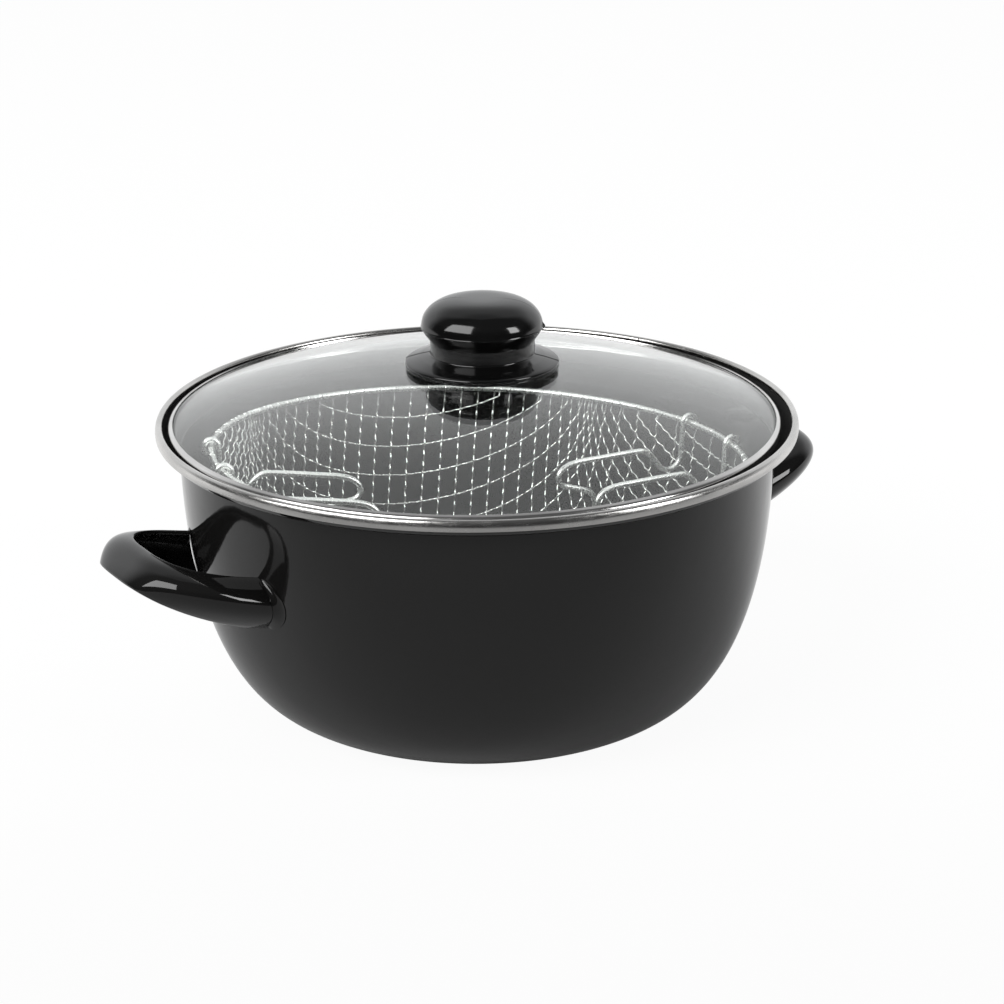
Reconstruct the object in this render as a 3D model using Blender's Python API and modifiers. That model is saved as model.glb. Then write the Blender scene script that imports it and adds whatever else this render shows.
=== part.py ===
"""A deep fry pot with a glass lid and a lift-out wire basket. Metres, +Z up.

The pot stands on the floor with its base centred on the origin, and its two
side handles lie along the X axis. The lid rests on a ledge inside the rolled
rim. The basket stands on the pot's floor, leaning a little, and its two wire
handles are folded inwards over it.
"""

import math

import bmesh
import bpy
from mathutils import Euler, Vector

for old in list(bpy.data.objects):
    bpy.data.objects.remove(old)

# Sizes that everything else follows

fit_gap = 0.0003
weld_distance = 0.00001
cut_overrun = 0.002
round_steps = 48
small_round_steps = 16
knob_round_steps = 28

# Pot body: one pressed sheet, a flat foot, a full curved wall and a stepped rim
body_radius = 0.130
foot_share = 0.5638
wall_height = 0.125
sheet = 0.0013
wall_rise_power = 2.314
wall_spread_power = 2.534
wall_angles = (9, 18, 28, 39, 52, 67, 80)
rim_overhang = 0.0093
rim_start_drop = 0.0060
rim_rise = 0.0097

# The rim's underside, as shares of its width beyond the wall and of its height above the neck
rim_outline_shares = (
    (0.00, 0.00),
    (0.00, 0.14),
    (0.05, 0.24),
    (0.18, 0.29),
    (0.62, 0.29),
    (0.77, 0.36),
    (0.94, 0.58),
    (1.00, 0.78),
    (1.00, 1.00),
)

# Rim trim: a strip folded over the lip, with a butt joint where its ends meet
trim_sheet = 0.00045
trim_outer_drop = 0.0031
trim_inner_drop = 0.0010
trim_joint_gap = 0.0004
trim_joint_step = 0

# Side handles: enamelled sheet straps bowed out from the wall
handle_half_span = 0.0324
handle_thickness = 0.0020
handle_reach_top = 0.0303
handle_reach_edge = 0.0434
handle_root_top_share = 0.701
handle_root_bottom_share = 0.532
handle_apex_top_share = 0.777
handle_apex_edge_share = 0.7135
handle_root_crown = 0.0087
handle_apex_crown = 0.0023
handle_bow_power = 2.78
handle_edge_bow_power = 3.66
handle_rise_power = 1.13
handle_edge_rise_power = 1.3
handle_stations = 22
handle_strips = 6
handle_probe_share = 0.05
weld_leg = 0.0030
weld_end_share = 0.04
weld_leg_shares = (0.35, 0.80, 1.00, 1.00, 1.00, 0.80, 0.35)
weld_arc_angles = (0, 30, 60, 90)

# Lid: domed glass held by a folded band, off centre on its ledge by the play it has there
lid_play = 0.00385
lid_shift_x = -0.0017
lid_shift_y = -0.0007
dome_radius = 0.400
glass_thickness = 0.0040
glass_rings = 5
band_sheet = 0.0005
band_width = 0.0022

# Knob and its fixing through the glass
knob_shift_x = 0.0038
knob_shift_y = -0.0006
knob_radius = 0.0265
knob_height = 0.0306
flange_radius = 0.0335
flange_wall = 0.0025
knob_boss_radius = 0.0080
knob_recess = 0.0038
seal_radius = 0.0070
seal_thickness = 0.0010
washer_radius = 0.0065
washer_thickness = 0.0010
screw_radius = 0.0020
screw_head_radius = 0.0045
screw_head_height = 0.0024
screw_grip = 0.0090
insert_radius = 0.0035
insert_length = 0.0100
glass_hole_radius = 0.0032

# The knob's side, as shares of its head radius and of its height
knob_side_shares = (
    (0.000, 1.000),
    (0.350, 0.994),
    (0.590, 0.963),
    (0.780, 0.895),
    (0.915, 0.790),
    (0.980, 0.680),
    (1.000, 0.586),
    (0.985, 0.550),
    (0.938, 0.486),
    (0.868, 0.412),
    (0.855, 0.398),
    (0.855, 0.205),
    (0.875, 0.185),
)
# The flange's top, as shares of its own radius and of the knob's height
flange_shares = (
    (0.810, 0.150),
    (0.970, 0.096),
    (1.000, 0.078),
    (1.000, 0.015),
    (0.985, 0.000),
)

# Basket: a wire ring that carries a bowl of wire net
ring_play = 0.0130
ring_wire = 0.0028
ring_sides = 6
basket_headroom = 0.0228
basket_shift_x = 0.0009
basket_shift_y = -0.0005
basket_lean_x = -0.89
basket_lean_y = 3.52
net_turn = -13.1
net_wire = 0.0012
net_flat_share = 0.650
net_corner_share = 0.308
net_wall_drop = 0.0180
net_pitch_x = 0.0246
net_pitch_y = 0.02175
net_snap = 0.0060
net_corner_steps = 16
net_settle_rounds = 60

# Basket handles: one wire each, hooked over the ring at both ends
hook_wire = 0.0026
hook_spacing = 0.0400
hook_play = 0.0006
hook_clear = 0.0009
grip_reach = 0.0663
grip_drop = 0.0480
right_grip_angle = -7.6
left_grip_angle = 162.4
hook_end_turn = 225.0
hook_turn_step = 45.0
grip_samples = 2

# One half of the folded wire, from the hook to the middle of the grip, as shares of the reach
# inwards, of the drop below the ring and of half the hook spacing
grip_shares = (
    (0.050, -0.290, 1.00),
    (0.072, -0.405, 1.00),
    (0.136, -0.458, 1.00),
    (0.200, -0.437, 1.00),
    (0.262, -0.340, 1.00),
    (0.335, -0.260, 1.00),
    (0.430, -0.254, 1.00),
    (0.700, -0.284, 1.00),
    (0.850, -0.303, 1.00),
    (0.938, -0.335, 1.00),
    (0.987, -0.390, 1.00),
    (1.000, -0.458, 1.00),
    (0.970, -0.520, 1.00),
    (0.900, -0.550, 1.00),
    (0.790, -0.592, 1.00),
    (0.733, -0.640, 1.00),
    (0.710, -0.730, 1.00),
    (0.709, -0.860, 0.96),
    (0.709, -0.960, 0.78),
    (0.709, -1.000, 0.48),
    (0.709, -1.000, 0.00),
)

# Collections, materials and helpers

part = bpy.data.collections.new("deep_fry_pot")
bpy.context.scene.collection.children.link(part)
cutters = bpy.data.collections.new("cutters")
bpy.context.scene.collection.children.link(cutters)
cutters.hide_render = True


def material(name, colour, roughness, metallic=0.0, transmission=0.0, coat=0.0):
    made = bpy.data.materials.new(name)
    made.use_nodes = True
    shader = made.node_tree.nodes["Principled BSDF"]
    shader.inputs["Base Color"].default_value = (*colour, 1.0)
    shader.inputs["Roughness"].default_value = roughness
    shader.inputs["Metallic"].default_value = metallic
    shader.inputs["Transmission Weight"].default_value = transmission
    shader.inputs["Coat Weight"].default_value = coat
    return made


def empty(name, location, turn=(0.0, 0.0, 0.0), parent=None):
    made = bpy.data.objects.new(name, None)
    made.location = location
    made.rotation_euler = Euler([math.radians(angle) for angle in turn])
    made.parent = parent
    part.objects.link(made)
    return made


def node(name, data, skin, parent, smooth=True):
    """Adds one piece with a material of its own."""
    made = bpy.data.objects.new(name, data)
    made.parent = parent
    part.objects.link(made)
    data.materials.append(skin)
    if smooth and made.type == "MESH":
        for face in data.polygons:
            face.use_smooth = True
    return made


def mesh_of(name, points, faces=(), edges=()):
    mesh = bpy.data.meshes.new(name)
    mesh.from_pydata(points, edges, faces)
    mesh.update()
    return mesh


def revolve(name, outline, skin, parent, steps, closed=False):
    """Turns an outline of (radius, height) points about Z. It runs down its outer side."""
    count = len(outline)
    edges = [(i, i + 1) for i in range(count - 1)]
    if closed:
        edges.append((count - 1, 0))
    mesh = mesh_of(name, [(radius, 0.0, height) for radius, height in outline], edges=edges)
    made = node(name, mesh, skin, parent)
    turn = made.modifiers.new("Turn", "SCREW")
    turn.steps = steps
    turn.render_steps = steps
    turn.use_merge_vertices = True
    turn.merge_threshold = weld_distance
    turn.use_smooth_shade = True
    return made


def loft(name, rings, skin, parent):
    """Skins closed rings of points in a row and closes both ends."""
    size = len(rings[0])
    points = [point for ring in rings for point in ring]
    faces = []
    for row in range(len(rings) - 1):
        for i in range(size):
            j = (i + 1) % size
            near = row * size
            far = near + size
            faces.append((near + i, near + j, far + j, far + i))
    faces.append(tuple(reversed(range(size))))
    faces.append(tuple(range(len(points) - size, len(points))))
    mesh = mesh_of(name, points, faces)
    skinned = bmesh.new()
    skinned.from_mesh(mesh)
    bmesh.ops.recalc_face_normals(skinned, faces=skinned.faces)
    skinned.to_mesh(mesh)
    skinned.free()
    return node(name, mesh, skin, parent)


def beside(line, distance):
    """The line of (radius, height) points moved sideways, to its left along its way."""
    moved = []
    for i, point in enumerate(line):
        here = Vector(point)
        before = here - Vector(line[i - 1]) if i else None
        after = Vector(line[i + 1]) - here if i + 1 < len(line) else None
        before = (before or after).normalized()
        after = (after or before).normalized()
        way = (before + after).normalized()
        reach = distance / max(way.dot(after), 0.5)
        moved.append((here.x - way.y * reach, here.y + way.x * reach))
    return moved


def smooth_line(knots, samples):
    """A rounded line through the knots, with this many stretches between each two."""
    line = []
    last = len(knots) - 1
    for i in range(last):
        start, end = knots[i], knots[i + 1]
        slope_in = (end - knots[max(i - 1, 0)]) / 2
        slope_out = (knots[min(i + 2, last)] - start) / 2
        for step in range(samples):
            t = step / samples
            line.append(
                start * (2 * t**3 - 3 * t**2 + 1)
                + slope_in * (t**3 - 2 * t**2 + t)
                + end * (3 * t**2 - 2 * t**3)
                + slope_out * (t**3 - t**2)
            )
    return line + [knots[last]]


enamel = dict(colour=(0.012, 0.012, 0.013), roughness=0.09, coat=0.6)
steel = dict(colour=(0.62, 0.62, 0.60), roughness=0.22, metallic=1.0)
phenolic = dict(colour=(0.016, 0.016, 0.016), roughness=0.16)

# Pot body

foot_radius = body_radius * foot_share


def wall_radius(height):
    """Outside radius of the wall at a height above the floor."""
    rise = max(1 - height / wall_height, 0) ** wall_rise_power
    return foot_radius + (body_radius - foot_radius) * (1 - rise) ** (1 / wall_spread_power)


pot = empty("pot", (0.0, 0.0, 0.0))

neck_height = wall_height - rim_start_drop
lip_height = neck_height + rim_rise
lip_radius = body_radius + rim_overhang
outside = [(0.0, 0.0), (foot_radius, 0.0)]
for angle in wall_angles:
    rise = math.cos(math.radians(angle)) ** (2 / wall_rise_power)
    spread = math.sin(math.radians(angle)) ** (2 / wall_spread_power)
    outside.append((foot_radius + (body_radius - foot_radius) * spread, wall_height * (1 - rise)))
neck_radius = wall_radius(neck_height)
rim_width = lip_radius - neck_radius
for across, up in rim_outline_shares:
    outside.append((neck_radius + rim_width * across, neck_height + rim_rise * up))
inside = beside(outside, sheet)
inside[0] = (0.0, sheet)
revolve(
    "pot_body",
    inside + outside[::-1],
    material("pot_enamel", **enamel),
    pot,
    round_steps,
)

# Rim trim

trim_mid_outer = lip_radius + fit_gap + trim_sheet / 2
trim_mid_inner = lip_radius - sheet - fit_gap - trim_sheet / 2
trim_fold = (trim_mid_outer - trim_mid_inner) / 2
trim_fold_radius = (trim_mid_outer + trim_mid_inner) / 2
trim_fold_height = lip_height + fit_gap + trim_sheet / 2 - trim_fold * math.sqrt(3) / 2
trim_line = [(trim_mid_outer, trim_fold_height - trim_outer_drop)]
for angle in (0, 45, 90, 135, 180):
    trim_line.append(
        (
            trim_fold_radius + trim_fold * math.cos(math.radians(angle)),
            trim_fold_height + trim_fold * math.sin(math.radians(angle)),
        )
    )
trim_line.append((trim_mid_inner, trim_fold_height - trim_inner_drop))
trim_outline = beside(trim_line, trim_sheet / 2) + beside(trim_line, -trim_sheet / 2)[::-1]

# The trim's facets follow the lip's, so that the fold clears it all round
trim_rings = []
for step in range(round_steps + 1):
    turn = 2 * math.pi * (trim_joint_step + step) / round_steps
    if step == 0:
        turn += trim_joint_gap / lip_radius / 2
    if step == round_steps:
        turn -= trim_joint_gap / lip_radius / 2
    trim_rings.append(
        [(r * math.cos(turn), r * math.sin(turn), z) for r, z in trim_outline]
    )
loft("rim_trim", trim_rings, material("trim_steel", **steel), pot)

# Side handles and their welds

root_top = wall_height * handle_root_top_share
root_bottom = wall_height * handle_root_bottom_share
apex_top = wall_height * handle_apex_top_share
apex_edge = wall_height * handle_apex_edge_share


def strap_point(angle, across):
    """A point on the strap's middle sheet: angle -90 to 90 round the bow, across 0 to 1 down it."""
    along = math.sin(math.radians(angle))
    out = max(math.cos(math.radians(angle)), 0.0)
    power = handle_bow_power + (handle_edge_bow_power - handle_bow_power) * across
    side = math.copysign(abs(along) ** (2 / power), along)
    share = out ** (2 / power)
    top = root_top + (apex_top - root_top) * share**handle_rise_power
    edge = root_bottom + (apex_edge - root_bottom) * share**handle_edge_rise_power
    height = top + (edge - top) * across
    bulge = 4 * across * (1 - across)
    half_width = handle_half_span + handle_root_crown * bulge
    root = math.sqrt(wall_radius(height) ** 2 - half_width**2)
    reach = body_radius + handle_reach_top + (handle_reach_edge - handle_reach_top) * across
    x = root + (reach - root) * share
    return Vector((x, half_width * side, height + handle_apex_crown * bulge * share))


def on_wall(point, gap):
    """The point moved along X until it stands clear of the wall by the gap."""
    clear = wall_radius(point.z) + gap
    return Vector((math.sqrt(clear**2 - point.y**2), point.y, point.z))


def strap_ring(angle):
    """A closed ring round the strap at one station of the bow."""
    outer, inner = [], []
    for strip in range(handle_strips + 1):
        across = strip / handle_strips
        here = strap_point(angle, across)
        along = strap_point(min(angle + 1, 90), across) - strap_point(max(angle - 1, -90), across)
        below = strap_point(angle, min(across + handle_probe_share, 1))
        down = below - strap_point(angle, max(across - handle_probe_share, 0))
        face = down.cross(along).normalized() * handle_thickness / 2
        outer.append(here + face)
        inner.append(here - face)
        if strip == 0:
            top_edge = here - down.normalized() * handle_thickness / 2
        if strip == handle_strips:
            low_edge = here + down.normalized() * handle_thickness / 2
    return [top_edge] + outer + [low_edge] + inner[::-1]


strap_rings = []
for station in range(handle_stations + 1):
    share = 2 * station / handle_stations - 1
    angle = 90 * math.copysign(abs(share) ** 0.85, share)
    ring = strap_ring(angle)
    if abs(angle) == 90:
        ring = [on_wall(point, fit_gap) for point in ring]
    strap_rings.append(ring)


def turned(point, side):
    """The point for the right handle (side 1) or, turned half round, the left one (side -1)."""
    return Vector((point.x * side, point.y * side, point.z))


def on_strap(ring, place):
    """The points of the outer and the inner face at a place counted in strips down a ring."""
    low = min(int(place), handle_strips - 1)
    outer = ring[1 : handle_strips + 2]
    inner = ring[: handle_strips + 2 : -1]
    return [face[low].lerp(face[low + 1], place - low) for face in (outer, inner)]


def weld_rings(side_y):
    """A hollow fillet between the wall and the outer face of one root, thinning at both ends."""
    root, beyond = strap_rings[:2] if side_y < 0 else strap_rings[:-3:-1]
    end_place = handle_strips * weld_end_share
    rings = []
    for step, leg_share in enumerate(weld_leg_shares):
        place = handle_strips * step / (len(weld_leg_shares) - 1)
        place = min(max(place, end_place), handle_strips - end_place)
        outer, inner = on_strap(root, place)
        away = Vector((0.0, outer.y - inner.y, outer.z - inner.z)).normalized()
        along = (on_strap(beyond, place)[0] - outer).normalized()
        corner = on_wall(outer + away * fit_gap, fit_gap)
        leg = weld_leg * leg_share
        ring = [corner]
        for angle in weld_arc_angles:
            out = leg * (1 - math.sin(math.radians(angle)))
            round_wall = leg * (1 - math.cos(math.radians(angle)))
            ring.append(on_wall(corner + away * round_wall, fit_gap) + along * out)
        rings.append(ring)
    return rings


for side, word in ((1, "right"), (-1, "left")):
    loft(
        f"handle_{word}",
        [[turned(point, side) for point in ring] for ring in strap_rings],
        material(f"handle_{word}_enamel", **enamel),
        pot,
    )
    for side_y, end in ((-1, "front"), (1, "back")):
        end_word = end if side > 0 else {"front": "back", "back": "front"}[end]
        loft(
            f"handle_{word}_weld_{end_word}",
            [[turned(point, side) for point in ring] for ring in weld_rings(side_y)],
            material(f"weld_{word}_{end_word}_enamel", **enamel),
            pot,
        )

# Lid

# The ledge is the flat of the rim's outline
ledge_share = rim_outline_shares[3][1]
ledge_height = neck_height + rim_rise * ledge_share + sheet
lid_radius = trim_mid_inner - trim_sheet / 2 - lid_play
lid = empty("lid", (lid_shift_x, lid_shift_y, ledge_height + fit_gap), parent=pot)

glass_radius = lid_radius - band_sheet - fit_gap
inner_dome_radius = dome_radius - glass_thickness
dome_centre = band_sheet + fit_gap - math.sqrt(inner_dome_radius**2 - glass_radius**2)


def glass_top(radius):
    return dome_centre + math.sqrt(dome_radius**2 - radius**2)


def glass_under(radius):
    return dome_centre + math.sqrt(inner_dome_radius**2 - radius**2)


glass_radii = [glass_radius * ring / glass_rings for ring in range(glass_rings + 1)]
glass_outline = [(radius, glass_top(radius)) for radius in glass_radii]
glass_outline += [(radius, glass_under(radius)) for radius in reversed(glass_radii)]

band_inner = lid_radius - band_width
band_bend = lid_radius - band_sheet
band_outline = [
    (band_inner, glass_top(band_inner) + fit_gap + band_sheet),
    (band_bend, glass_top(band_bend) + fit_gap + band_sheet),
    (lid_radius, glass_top(lid_radius) + fit_gap),
    (lid_radius, band_sheet),
    (band_bend, 0.0),
    (band_inner, glass_under(band_inner) - fit_gap - band_sheet),
    (band_inner, glass_under(band_inner) - fit_gap),
    (band_bend, glass_under(band_bend) - fit_gap),
    (band_bend, glass_top(band_bend) + fit_gap),
    (band_inner, glass_top(band_inner) + fit_gap),
]
revolve("lid_band", band_outline, material("lid_band_steel", **steel), lid, round_steps, True)

# The knob's fixing stands on its own axis, over a hole in the glass
knob_axis = empty("knob_axis", (knob_shift_x, knob_shift_y, 0.0), parent=lid)
axis_offset = math.hypot(knob_shift_x, knob_shift_y)


def glass_below_knob(radius):
    """The highest that the glass reaches under a circle of this radius about the knob's axis."""
    return glass_top(max(radius - axis_offset, 0.0))


crown = glass_top(0.0)
seal_upper_base = crown + fit_gap
boss_height = seal_upper_base + seal_thickness + fit_gap
knob_base = glass_below_knob(flange_radius - flange_wall) + fit_gap
knob_outline = [(knob_radius * r, knob_base + knob_height * z) for r, z in knob_side_shares]
knob_outline += [(flange_radius * r, knob_base + knob_height * z) for r, z in flange_shares]
recess_radius = flange_radius - flange_wall
knob_outline += [
    (recess_radius, knob_base),
    (recess_radius, knob_base + knob_recess * 0.32),
    (recess_radius * 0.76, knob_base + knob_recess * 0.80),
    (recess_radius * 0.62, knob_base + knob_recess),
    (knob_boss_radius, knob_base + knob_recess),
    (knob_boss_radius, boss_height),
    (insert_radius + fit_gap, boss_height),
    (insert_radius + fit_gap, boss_height + insert_length + fit_gap),
    (0.0, boss_height + insert_length + fit_gap),
]
revolve("lid_knob", knob_outline, material("knob_phenolic", **phenolic), knob_axis, knob_round_steps)

hole = screw_radius + fit_gap
revolve(
    "knob_insert",
    [
        (hole, boss_height + insert_length),
        (insert_radius, boss_height + insert_length),
        (insert_radius, boss_height),
        (hole, boss_height),
    ],
    material("insert_brass", (0.72, 0.52, 0.24), 0.3, 1.0),
    knob_axis,
    small_round_steps,
    True,
)


def ring_plate(name, radius, base, thickness, skin):
    outline = [(hole, base + thickness), (radius, base + thickness), (radius, base), (hole, base)]
    revolve(name, outline, skin, knob_axis, small_round_steps, True)


rubber = dict(colour=(0.03, 0.03, 0.03), roughness=0.6)
seal_lower_base = glass_under(seal_radius + axis_offset) - fit_gap - seal_thickness
washer_base = seal_lower_base - fit_gap - washer_thickness
screw_head_top = washer_base - fit_gap
ring_plate(
    "knob_seal_upper",
    seal_radius,
    seal_upper_base,
    seal_thickness,
    material("seal_upper_rubber", **rubber),
)
ring_plate(
    "knob_seal_lower",
    seal_radius,
    seal_lower_base,
    seal_thickness,
    material("seal_lower_rubber", **rubber),
)
ring_plate(
    "knob_washer",
    washer_radius,
    washer_base,
    washer_thickness,
    material("washer_steel", **steel),
)
screw_top = boss_height + screw_grip
revolve(
    "knob_screw",
    [
        (0.0, screw_top),
        (screw_radius, screw_top),
        (screw_radius, screw_head_top),
        (screw_head_radius, screw_head_top),
        (screw_head_radius, screw_head_top - screw_head_height * 0.6),
        (screw_head_radius * 0.7, screw_head_top - screw_head_height),
        (0.0, screw_head_top - screw_head_height),
    ],
    material("screw_steel", **steel),
    knob_axis,
    small_round_steps,
)

glass = revolve(
    "lid_glass",
    glass_outline,
    material("lid_glass_clear", (0.9, 0.93, 0.92), 0.03, 0.0, 0.9),
    lid,
    round_steps,
)
drill_outline = [
    (0.0, crown + cut_overrun),
    (glass_hole_radius, crown + cut_overrun),
    (glass_hole_radius, washer_base),
    (0.0, washer_base),
]
drill = revolve(
    "glass_drill",
    drill_outline,
    material("drill_grey", (0.5, 0.5, 0.5), 0.5),
    knob_axis,
    small_round_steps,
)
part.objects.unlink(drill)
cutters.objects.link(drill)
drill.hide_render = True
drill.display_type = "WIRE"
bored = glass.modifiers.new("Knob hole", "BOOLEAN")
bored.operation = "DIFFERENCE"
bored.solver = "EXACT"
bored.object = drill

# Basket

ring_radius = body_radius - ring_play
basket_depth = wall_height - basket_headroom
net_flat_radius = ring_radius * net_flat_share
net_corner_radius = ring_radius * net_corner_share
lean = Euler((math.radians(basket_lean_x), math.radians(basket_lean_y), 0.0))
lean_cos = lean.to_matrix()[2][2]
lean_sin = math.sqrt(1 - lean_cos**2)
ring_height = (
    sheet
    + fit_gap
    + net_wire / 2
    + net_corner_radius
    + (basket_depth - net_corner_radius) * lean_cos
    + net_flat_radius * lean_sin
)
basket = empty(
    "basket",
    (basket_shift_x, basket_shift_y, ring_height),
    (basket_lean_x, basket_lean_y, 0.0),
    pot,
)

ring_outline = []
for side in range(ring_sides):
    angle = math.pi / 2 - 2 * math.pi * (side + 0.5) / ring_sides
    ring_outline.append(
        (ring_radius + ring_wire / 2 * math.cos(angle), ring_wire / 2 * math.sin(angle))
    )
revolve("basket_ring", ring_outline, material("ring_steel", **steel), basket, round_steps, True)

# The net's bowl, as a line of (radius, height) points from the middle of its floor up past the
# ring: a flat floor, a round corner, a slightly flared wall and a straight brim
net_top = -(ring_wire / 2 + fit_gap + net_wire / 2)
net_radius = ring_radius - fit_gap
flare_rise = basket_depth - net_corner_radius - net_wall_drop
flare = math.atan2(net_radius - net_flat_radius - net_corner_radius, flare_rise)
bowl = [Vector((0.0, -basket_depth)), Vector((net_flat_radius, -basket_depth))]
for step in range(1, net_corner_steps + 1):
    angle = math.radians(-90) + (math.radians(90) - flare) * step / net_corner_steps
    bowl.append(
        Vector(
            (
                net_flat_radius + net_corner_radius * math.cos(angle),
                net_corner_radius - basket_depth + net_corner_radius * math.sin(angle),
            )
        )
    )
bowl.append(Vector((net_radius, -net_wall_drop)))
bowl.append(Vector((net_radius, basket_depth)))


def along_bowl(distance):
    """The (radius, height) point this far along the bowl from the middle of its floor."""
    for start, end in zip(bowl, bowl[1:]):
        length = (end - start).length
        if distance <= length:
            return start.lerp(end, distance / length)
        distance -= length
    return bowl[-1]


def onto_bowl(point):
    """The nearest point of the bowl."""
    radius = math.hypot(point.x, point.y)
    here = Vector((radius, point.z))
    best = None
    for start, end in zip(bowl, bowl[1:]):
        run = end - start
        share = min(max((here - start).dot(run) / run.length_squared, 0.0), 1.0)
        near = start + run * share
        gap = (near - here).length
        if best is None or gap < best[0]:
            best = (gap, near)
    near = best[1]
    scale = near.x / radius if radius else 0.0
    return Vector((point.x * scale, point.y * scale, near.y))


def net_quarter(sign_x, sign_y):
    """Knots of one quarter of a net of stiff wires laid over the bowl.

    The two middle wires run straight over it. Every other knot lies one pitch from the knot
    before it on each of its two wires, so the cells keep their sides and only lean over, as
    a flat woven net does when it is pressed into a bowl.
    """
    knots = {}
    reach = bowl[-1].y
    across = 0
    while True:
        column = 0
        while True:
            if not across or not column:
                pitch = net_pitch_x if across else net_pitch_y
                spot = along_bowl(pitch * (across + column))
                if across:
                    knot = Vector((spot.x * sign_x, 0.0, spot.y))
                else:
                    knot = Vector((0.0, spot.x * sign_y, spot.y))
            else:
                before = knots.get((across - 1, column))
                beneath = knots.get((across, column - 1))
                if before is None or beneath is None:
                    break
                knot = before + beneath - knots[(across - 1, column - 1)]
                for _ in range(net_settle_rounds):
                    pull_x = knot - before
                    pull_y = knot - beneath
                    move_x = pull_x * (net_pitch_x / pull_x.length - 1)
                    move_y = pull_y * (net_pitch_y / pull_y.length - 1)
                    knot = onto_bowl(knot + (move_x + move_y) / 2)
            knots[(across, column)] = knot
            if knot.z > net_pitch_x:
                break
            column += 1
        if knots[(across, 0)].z > net_pitch_x:
            break
        across += 1
    return knots


hook_radius = ring_wire / 2 + hook_play + hook_wire / 2
hook_angles = []
for grip_angle in (right_grip_angle, left_grip_angle):
    half = math.degrees(math.asin(hook_spacing / 2 / ring_radius))
    hook_angles += [grip_angle - half - net_turn, grip_angle + half - net_turn]


def hook_passes(face):
    """Whether a hook of a basket handle swings through this cell of the net."""
    low = max(corner.co.z for corner in face.verts)
    if low < net_top - 2 * hook_radius:
        return False
    for hook_angle in hook_angles:
        offsets = []
        for corner in face.verts:
            turn = math.degrees(math.atan2(corner.co.y, corner.co.x)) - hook_angle
            turn = (turn + 180) % 360 - 180
            offsets.append(math.radians(turn) * ring_radius)
        room = hook_wire / 2 + net_wire / 2 + hook_clear
        if min(offsets) < room and max(offsets) > -room and max(offsets) - min(offsets) < ring_radius:
            return True
    return False


net = bmesh.new()
for sign_x in (1, -1):
    for sign_y in (1, -1):
        knots = net_quarter(sign_x, sign_y)
        corners = {key: net.verts.new(knot) for key, knot in knots.items()}
        for i, j in knots:
            cell = [corners.get(key) for key in ((i, j), (i + 1, j), (i + 1, j + 1), (i, j + 1))]
            if None not in cell:
                net.faces.new(cell if sign_x == sign_y else cell[::-1])
bmesh.ops.remove_doubles(net, verts=net.verts, dist=weld_distance)
for corner in net.verts:
    if abs(corner.co.z - net_top) < net_snap:
        corner.co.z = net_top
bmesh.ops.bisect_plane(
    net,
    geom=net.verts[:] + net.edges[:] + net.faces[:],
    dist=weld_distance,
    plane_co=(0.0, 0.0, net_top),
    plane_no=(0.0, 0.0, 1.0),
    clear_outer=True,
)
bmesh.ops.delete(net, geom=[face for face in net.faces if hook_passes(face)], context="FACES")
bmesh.ops.recalc_face_normals(net, faces=net.faces)
net_mesh = bpy.data.meshes.new("basket_net")
net.to_mesh(net_mesh)
net.free()
net_object = node("basket_net", net_mesh, material("net_steel", **steel), basket)
net_object.rotation_euler.z = math.radians(net_turn)
wires = net_object.modifiers.new("Wires", "WIREFRAME")
wires.thickness = net_wire
wires.use_even_offset = False
wires.use_boundary = True

# Basket handles


def grip_line():
    """The wire's middle line: X inwards from the ring, Y along the ring, Z up."""
    half = hook_spacing / 2
    knots = []
    turn = hook_end_turn
    while turn >= 0:
        angle = math.radians(turn)
        knots.append(Vector((hook_radius * math.cos(angle), half, hook_radius * math.sin(angle))))
        turn -= hook_turn_step
    hook = knots[:-1]
    bends = [Vector((grip_reach * u, half * b, grip_drop * w)) for u, w, b in grip_shares]
    line = hook + smooth_line([knots[-1]] + bends, grip_samples)
    mirror = [Vector((point.x, -point.y, point.z)) for point in line[-2::-1]]
    return line + mirror


hinge_radius = math.sqrt(ring_radius**2 - (hook_spacing / 2) ** 2)
for word, grip_angle in (("right", right_grip_angle), ("left", left_grip_angle)):
    angle = math.radians(grip_angle)
    hinge = empty(
        f"basket_handle_{word}_hinge",
        (hinge_radius * math.cos(angle), hinge_radius * math.sin(angle), 0.0),
        (0.0, 0.0, grip_angle + 180.0),
        basket,
    )
    line = grip_line()
    curve = bpy.data.curves.new(f"basket_handle_{word}", "CURVE")
    curve.dimensions = "3D"
    wire = curve.splines.new("POLY")
    wire.points.add(len(line) - 1)
    for spot, point in zip(wire.points, line):
        spot.co = (*point, 1.0)
    curve.bevel_depth = hook_wire / 2
    curve.bevel_resolution = 2
    curve.use_fill_caps = True
    node(f"basket_handle_{word}", curve, material(f"basket_handle_{word}_steel", **steel), hinge)
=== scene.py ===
"""Look scene for a deep fry pot with a glass lid and a lift-out wire basket.

Metres, +Z up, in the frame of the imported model. Every piece is built where it rests and rides
on its body, and it stands for the solid of the same shape.
"""

import math

import bmesh
import bpy
import numpy as np
from mathutils import Euler, Matrix, Vector


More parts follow.
